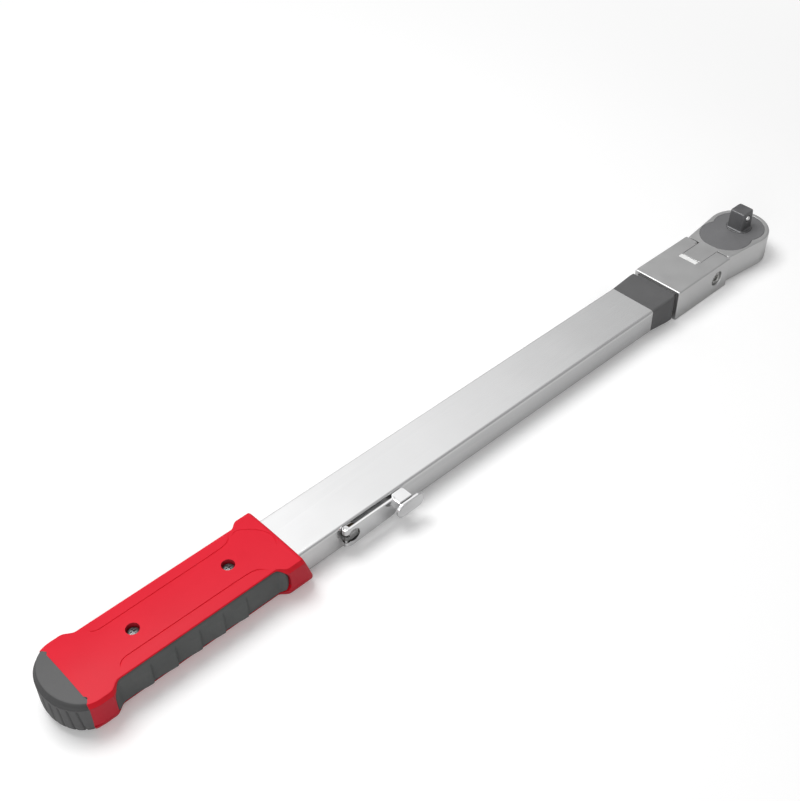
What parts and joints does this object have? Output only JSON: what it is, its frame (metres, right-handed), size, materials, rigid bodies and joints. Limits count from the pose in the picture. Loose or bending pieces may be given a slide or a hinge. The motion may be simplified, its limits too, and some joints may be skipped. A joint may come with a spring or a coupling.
{
  "type": "split beam torque wrench",
  "caption": "Flat-tube torque wrench with a square-drive ratchet head, reversing lever, fold-out setting crank on one side and a screwed two-shell grip with soft side pads.",
  "frame": {"origin": "centre of the drive square's end face, on the drive axis", "axes": "+Z along the drive axis, out of the square's end; +X along the wrench from the grip to the head; the setting crank is on the -Y side"},
  "size_m": [0.6421, 0.0576, 0.041],
  "materials": {
    "head_steel": "satin nickel-chrome plate on forged steel",
    "dark_steel": "black oxide",
    "bright_steel": "polished chrome plate",
    "tube_steel": "satin chrome plate",
    "spring_steel": "oiled spring steel",
    "bronze": "sintered bronze",
    "soft_grey": "moulded rubber, fine grain",
    "red_shell": "moulded nylon, satin",
    "black_plastic": "moulded plastic",
    "scale_white": "printed strip, left bare",
    "clear_lens": "clear moulded lens"
  },
  "bodies": {
    "frame": {"ratchet_head": "head_steel", "cover_plate": "dark_steel", "cover_pin_near": "dark_steel", "cover_pin_far": "dark_steel", "gear_washer": "spring_steel", "yoke_housing": "head_steel", "side_screw_near": "bright_steel", "side_screw_far": "bright_steel", "boot_sleeve": "soft_grey", "frame_tube": "tube_steel", "tube_screw_1": "dark_steel", "tube_screw_2": "dark_steel", "main_beam": "spring_steel", "sensing_beam": "spring_steel", "beam_rivet_1": "dark_steel", "beam_rivet_2": "dark_steel", "sensing_screw_1": "dark_steel", "sensing_screw_2": "dark_steel", "fulcrum_block": "dark_steel", "fulcrum_pin": "bright_steel", "trip_pin": "bright_steel", "trip_spring": "spring_steel", "shaft_bush_near": "bronze", "shaft_bush_far": "bronze", "window_bezel": "black_plastic", "window_lens": "clear_lens", "tube_plug": "black_plastic", "grip_shell_upper": "red_shell", "grip_shell_lower": "red_shell", "grip_pad_near": "soft_grey", "grip_pad_far": "soft_grey", "end_cap": "soft_grey", "grip_screw_1": "dark_steel", "grip_screw_2": "dark_steel", "grip_nut_1": "spring_steel", "grip_nut_2": "spring_steel"},
    "drive": {"drive_gear": "dark_steel", "detent_spring": "spring_steel"},
    "ball": {"detent_ball": "bright_steel"},
    "reverser": {"reversing_lever": "bright_steel"},
    "pawl": {"ratchet_pawl": "spring_steel"},
    "adjuster": {"pinion_shaft": "dark_steel"},
    "rack": {"rack_slider": "spring_steel", "scale_strip": "scale_white"},
    "crank": {"crank_lever": "bright_steel", "crank_hinge_pin": "bright_steel", "finger_plate": "bright_steel"},
    "trip": {"trip_lever": "bright_steel"}
  },
  "joints": [
    {"name": "drive_spin", "type": "hinge", "parent": "frame", "child": "drive", "pos_m": [0, 0, -0.0157], "axis": [0, 0, 1], "continuous": true},
    {"name": "detent_press", "type": "slide", "parent": "drive", "child": "ball", "axis": [0, 1, 0], "range_m": [0, 0.001], "stiffness_N_per_m": 400, "springref_m": -0.001, "deforming": ["detent_spring"]},
    {"name": "reverse_turn", "type": "hinge", "parent": "frame", "child": "reverser", "pos_m": [-0.0245, 0, -0.039], "axis": [0, 0, 1], "range_deg": [0, 55]},
    {"name": "pawl_tilt", "type": "hinge", "parent": "frame", "child": "pawl", "pos_m": [-0.0245, 0, -0.024], "axis": [0, 0, 1], "range_deg": [-10, 0]},
    {"name": "crank_spin", "type": "hinge", "parent": "frame", "child": "adjuster", "pos_m": [-0.4205, 0, -0.02535], "axis": [0, 1, 0], "range_deg": [-135, 135]},
    {"name": "rack_slide", "type": "slide", "parent": "frame", "child": "rack", "axis": [1, 0, 0], "range_m": [-0.0119, 0.0119]},
    {"name": "crank_fold", "type": "hinge", "parent": "adjuster", "child": "crank", "pos_m": [-0.4248, -0.02175, -0.02535], "axis": [0, 0, -1], "range_deg": [0, 100]},
    {"name": "trip_rock", "type": "hinge", "parent": "frame", "child": "trip", "pos_m": [-0.323, 0.0142, -0.02705], "axis": [0, 0, 1], "range_deg": [0, 6], "stiffness_Nm_per_rad": 0.2, "springref_deg": -5.73, "deforming": ["trip_spring"]}
  ],
  "couplings": [
    {"joint": "pawl_tilt", "follows": "reverse_turn", "ratio": -0.18},
    {"joint": "rack_slide", "follows": "crank_spin", "m_per_rad": -0.005}
  ]
}
